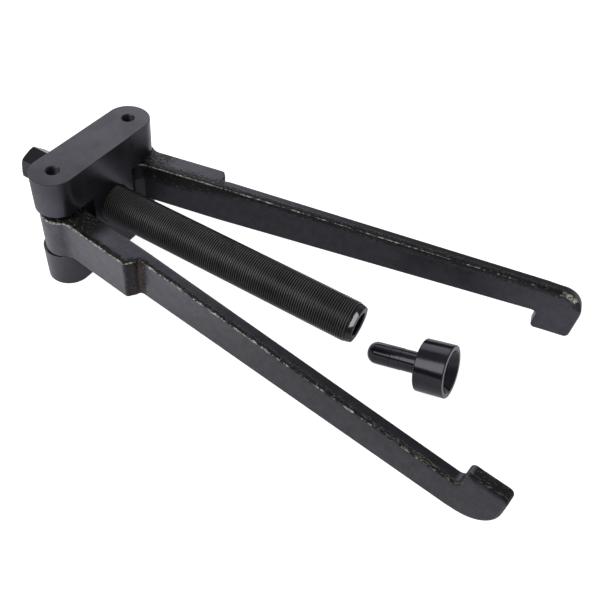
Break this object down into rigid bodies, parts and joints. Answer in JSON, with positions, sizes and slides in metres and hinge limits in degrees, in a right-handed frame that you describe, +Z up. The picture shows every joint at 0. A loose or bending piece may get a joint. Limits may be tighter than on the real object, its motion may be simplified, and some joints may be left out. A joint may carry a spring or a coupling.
{
  "type": "gear puller",
  "caption": "Slotted yoke with hooked arms on pivot bolts, a fine-thread forcing screw with a bored nose, and a loose push cup for pressing on the work.",
  "frame": {"origin": "middle of the yoke's base, midway between the two pivots", "axes": "+X along the forcing screw to its nose, +Y from the near pivot to the far one, +Z up along the pivots to the yoke's top"},
  "size_m": [0.5133, 0.2363, 0.116],
  "materials": {
    "machined_yoke": "satin black-oxide over machined faces",
    "arms": "black-oxide plate faces, rough cut edges",
    "bolts": "black-oxide",
    "screw": "oiled black-oxide, crests worn lighter",
    "cup": "smooth glossy black-oxide"
  },
  "bodies": {
    "root": {"yoke": "machined_yoke", "near_pivot_bolt": "bolts", "far_pivot_bolt": "bolts", "push_cup": "cup"},
    "near_arm": {"near_arm": "arms"},
    "far_arm": {"far_arm": "arms"},
    "forcing_screw": {"forcing_screw": "screw"}
  },
  "joints": [
    {"name": "near_arm_swing", "type": "hinge", "parent": "root", "child": "near_arm", "pos_m": [0, -0.049, 0.058], "axis": [0, 0, -1], "range_deg": [-10.2, 172.8]},
    {"name": "far_arm_swing", "type": "hinge", "parent": "root", "child": "far_arm", "pos_m": [0, 0.049, 0.058], "axis": [0, 0, 1], "range_deg": [-10.4, 168.6]},
    {"name": "screw_feed", "type": "slide", "parent": "root", "child": "forcing_screw", "axis": [1, 0, 0], "range_m": [-0.24, 0.031]}
  ]
}
